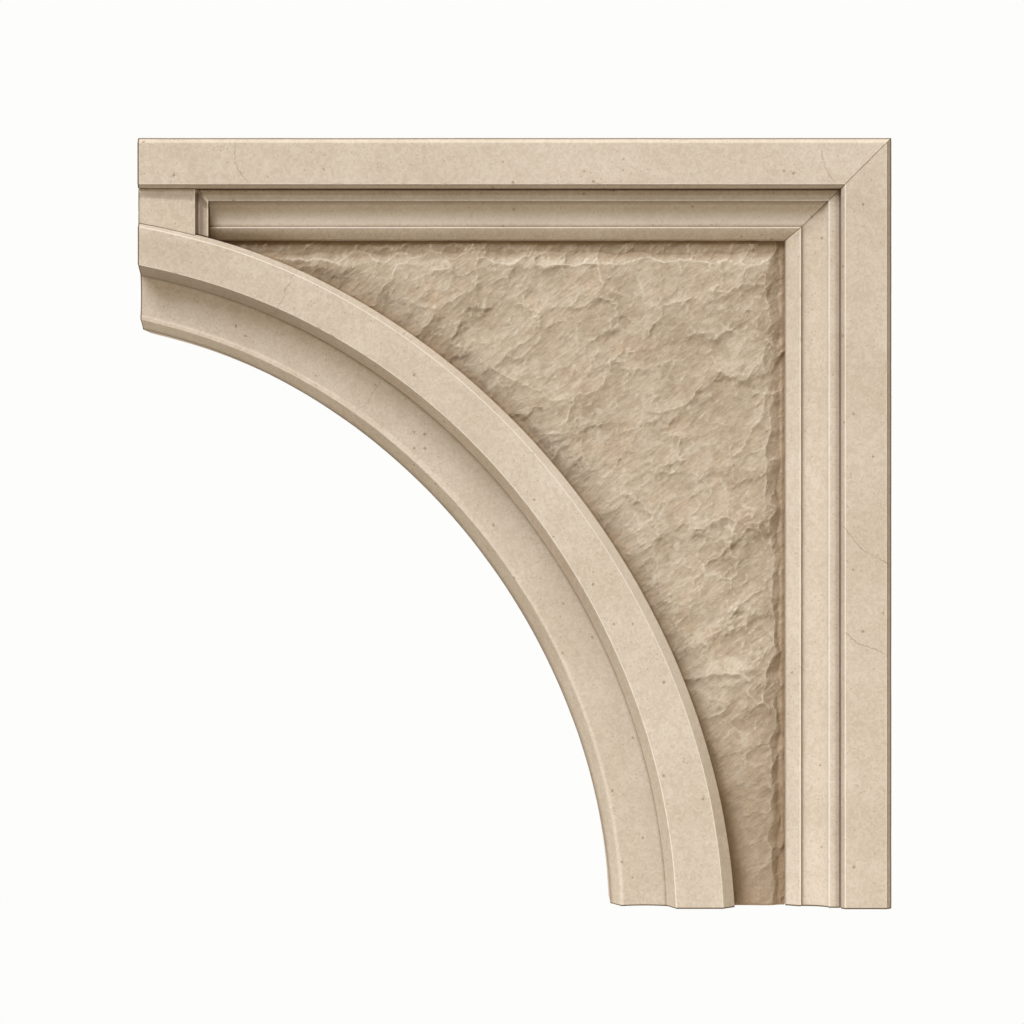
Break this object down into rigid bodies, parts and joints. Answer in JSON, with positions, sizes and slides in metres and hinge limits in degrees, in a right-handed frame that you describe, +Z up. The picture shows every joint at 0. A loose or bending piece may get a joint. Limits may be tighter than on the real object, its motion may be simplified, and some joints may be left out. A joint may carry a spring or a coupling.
{
  "type": "spandrel panel",
  "caption": "Limestone panel that fills the right shoulder of a round arch: moulded rail and stile, moulded quarter-arch rib, short crown block and a rough pitch-faced field between them.",
  "frame": {"origin": "on the flat back bed, at the middle of the panel's width and height, where it meets the wall", "axes": "+Z up, +X to the right seen from the front, and the moulded face looks along -Y"},
  "size_m": [0.7548, 0.12, 0.7722],
  "materials": {
    "rail_stone": "fine-rubbed pale limestone",
    "stile_stone": "fine-rubbed pale limestone",
    "block_stone": "fine-rubbed pale limestone",
    "rib_stone": "fine-rubbed pale limestone",
    "field_stone": "rough pitch-faced limestone"
  },
  "bodies": {
    "root": {"head_rail": "rail_stone", "side_stile": "stile_stone", "crown_block": "block_stone", "arch_rib": "rib_stone", "infill_panel": "field_stone"}
  },
  "joints": []
}
